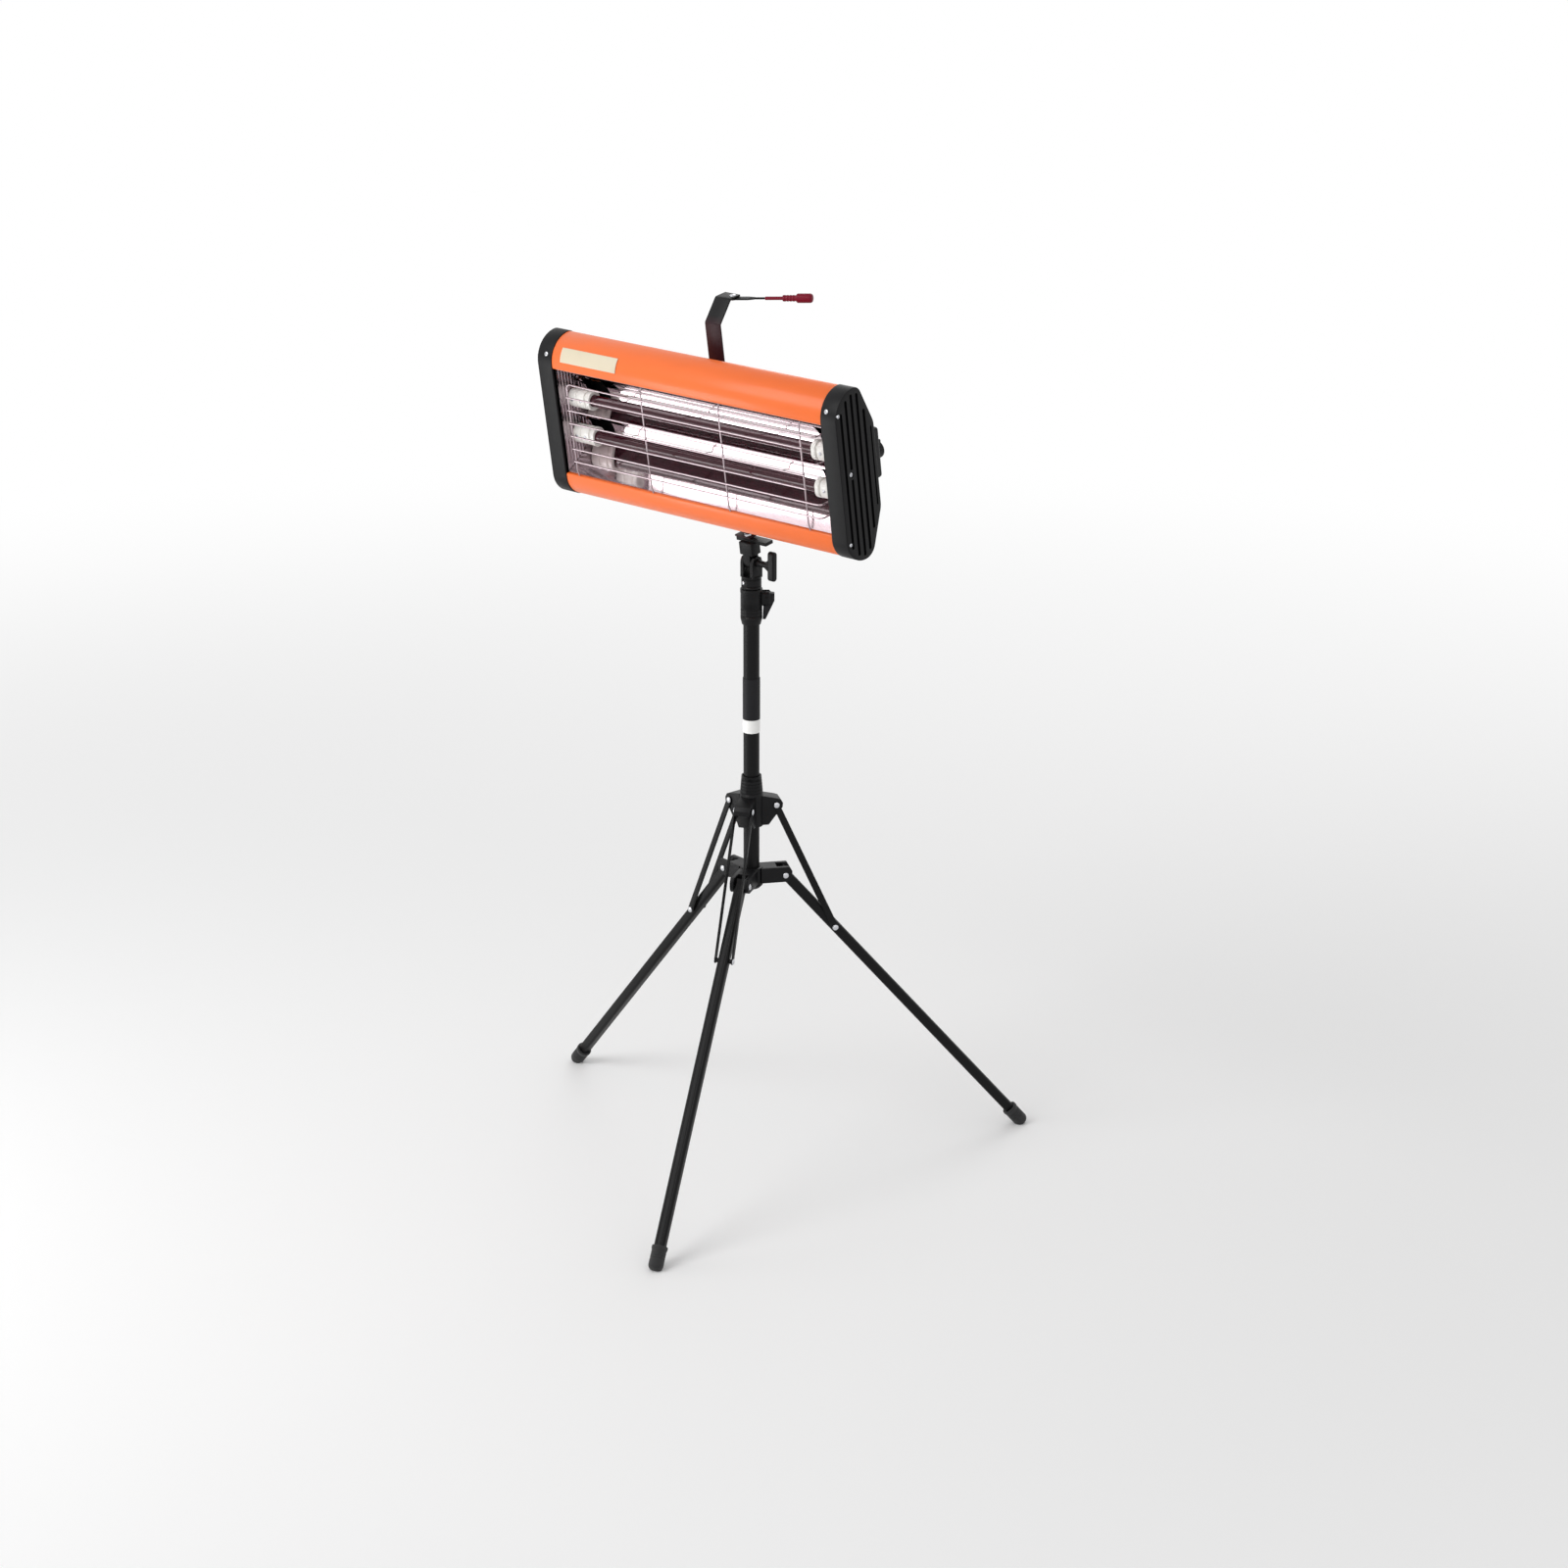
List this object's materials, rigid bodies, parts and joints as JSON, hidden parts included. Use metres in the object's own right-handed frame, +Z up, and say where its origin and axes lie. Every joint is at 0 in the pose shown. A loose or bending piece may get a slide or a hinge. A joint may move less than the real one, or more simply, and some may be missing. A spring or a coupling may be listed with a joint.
{
  "type": "infrared paint curing lamp",
  "caption": "Infrared paint curing lamp: a wide heater head with quartz tubes behind a wire guard, which tilts, turns and rises on a folding tripod stand.",
  "frame": {"origin": "middle of the outline in X and Y, on the floor that the rubber feet stand on", "axes": "+Z up along the stand's column, +X along the lamp head to the end with the switch box, -Y the way the head's window faces"},
  "size_m": [0.7458, 0.7938, 1.4024],
  "materials": {
    "black_paint": "black powder coat on steel",
    "black_plastic": "fine moulded texture",
    "grey_plastic": "moulded, dark grey",
    "orange_paint": "orange gloss coat on sheet steel",
    "chromed_wire": "chromed steel wire",
    "polished_aluminium": "polished sheet",
    "steel": "bright plated",
    "rubber": "moulded, matte",
    "white_plastic": "moulded, white",
    "white_ceramic": "white, lightly glazed",
    "ruby_quartz": "ruby quartz, polished",
    "crimson_plastic": "moulded, dark crimson",
    "cream_plastic": "satin, bare"
  },
  "bodies": {
    "stand": {"leg_hub": "black_plastic", "column_tube": "black_paint", "white_band": "white_plastic", "column_sleeve": "grey_plastic", "column_clamp": "black_plastic", "clamp_pin": "steel", "leg_front_rivet": "steel", "leg_right_rivet": "steel", "leg_left_rivet": "steel"},
    "front_leg": {"leg_front": "black_paint", "foot_front": "rubber"},
    "right_leg": {"leg_right": "black_paint", "foot_right": "rubber"},
    "left_leg": {"leg_left": "black_paint", "foot_left": "rubber"},
    "collar": {"brace_collar": "black_plastic", "brace_front_rivet": "steel", "brace_right_rivet": "steel", "brace_left_rivet": "steel"},
    "front_brace": {"brace_front_a": "black_paint", "brace_front_b": "black_paint"},
    "right_brace": {"brace_right_a": "black_paint", "brace_right_b": "black_paint"},
    "left_brace": {"brace_left_a": "black_paint", "brace_left_b": "black_paint"},
    "lock_lever": {"clamp_lever": "grey_plastic"},
    "mast": {"inner_mast": "black_paint"},
    "swivel": {"swivel_adaptor": "black_plastic", "tilt_nut": "steel"},
    "knob": {"tilt_knob": "black_plastic"},
    "head": {"tilt_bracket": "black_plastic", "strap": "black_paint", "strap_foot_screw": "steel", "lever_rivet": "steel", "upper_shell": "orange_paint", "lower_shell": "orange_paint", "back_panel": "black_paint", "reflector": "polished_aluminium", "end_reflector_left": "polished_aluminium", "end_reflector_right": "polished_aluminium", "upper_quartz_tube": "ruby_quartz", "lower_quartz_tube": "ruby_quartz", "upper_element": "steel", "lower_element": "steel", "upper_holder_left": "white_ceramic", "upper_holder_right": "white_ceramic", "lower_holder_left": "white_ceramic", "lower_holder_right": "white_ceramic", "wire_guard": "chromed_wire", "end_cap_left": "black_plastic", "end_cap_right": "black_plastic", "cap_screw_left": "steel", "cap_screw_right": "steel", "bare_plate": "cream_plastic", "terminal_block": "white_ceramic", "switch_box": "black_plastic", "cable_gland": "black_plastic"},
    "arm": {"lever_arm": "black_paint", "lever_grip": "crimson_plastic"},
    "switch": {"switch_knob": "black_plastic"}
  },
  "joints": [
    {"name": "front_leg_fold", "type": "hinge", "parent": "stand", "child": "front_leg", "pos_m": [0.1045, -0.0231, 0.4694], "axis": [-0.9157, -0.4019, 0], "range_deg": [0, 130.5]},
    {"name": "right_leg_fold", "type": "hinge", "parent": "stand", "child": "right_leg", "pos_m": [0.11438, 0.06642, 0.4694], "axis": [0.8059, -0.592, 0], "range_deg": [0, 130.6]},
    {"name": "left_leg_fold", "type": "hinge", "parent": "stand", "child": "left_leg", "pos_m": [0.03191, 0.03022, 0.4694], "axis": [0.1097, 0.994, 0], "range_deg": [0, 130.6]},
    {"name": "collar_slide", "type": "slide", "parent": "stand", "child": "collar", "axis": [0, 0, 1], "range_m": [0, 0.2348]},
    {"name": "front_brace_swing", "type": "hinge", "parent": "collar", "child": "front_brace", "pos_m": [0.09847, -0.00937, 0.58769], "axis": [-0.9157, -0.4019, 0], "range_deg": [-15.85, 0]},
    {"name": "right_brace_swing", "type": "hinge", "parent": "collar", "child": "right_brace", "pos_m": [0.1055, 0.05433, 0.58769], "axis": [0.8059, -0.592, 0], "range_deg": [-15.85, 0]},
    {"name": "left_brace_swing", "type": "hinge", "parent": "collar", "child": "left_brace", "pos_m": [0.04682, 0.02857, 0.58769], "axis": [0.1097, 0.994, 0], "range_deg": [-15.85, 0]},
    {"name": "lock_lever_swing", "type": "hinge", "parent": "stand", "child": "lock_lever", "pos_m": [0.10134, 0.04038, 0.9247], "axis": [0.6665, -0.7455, 0], "range_deg": [0, 80]},
    {"name": "mast_slide", "type": "slide", "parent": "stand", "child": "mast", "axis": [0, 0, 1], "range_m": [0, 0.33]},
    {"name": "head_pan", "type": "hinge", "parent": "mast", "child": "swivel", "pos_m": [0.0836, 0.02451, 0.947], "axis": [0, 0, 1], "range_deg": [-180, 180]},
    {"name": "knob_turn", "type": "hinge", "parent": "swivel", "child": "knob", "pos_m": [0.0967, 0.02451, 0.9789], "axis": [1, 0, 0], "range_deg": [0, 90]},
    {"name": "head_tilt", "type": "hinge", "parent": "swivel", "child": "head", "pos_m": [0.0836, 0.02451, 0.9789], "axis": [1, 0, 0], "range_deg": [-75, 68]},
    {"name": "arm_swing", "type": "hinge", "parent": "head", "child": "arm", "pos_m": [0.0816, -0.01322, 1.38679], "axis": [0, -0.1513, 0.9885], "range_deg": [-40, 125]},
    {"name": "switch_turn", "type": "hinge", "parent": "head", "child": "switch", "pos_m": [0.3126, 0.02687, 1.18563], "axis": [0, 0.9885, 0.1513], "range_deg": [0, 120]}
  ],
  "couplings": [
    {"joint": "right_leg_fold", "follows": "front_leg_fold", "ratio": 1},
    {"joint": "left_leg_fold", "follows": "front_leg_fold", "ratio": 1},
    {"joint": "collar_slide", "follows": "front_leg_fold", "m_per_rad": 0.103},
    {"joint": "front_brace_swing", "follows": "front_leg_fold", "ratio": -0.1211},
    {"joint": "right_brace_swing", "follows": "front_leg_fold", "ratio": -0.1211},
    {"joint": "left_brace_swing", "follows": "front_leg_fold", "ratio": -0.1211}
  ]
}
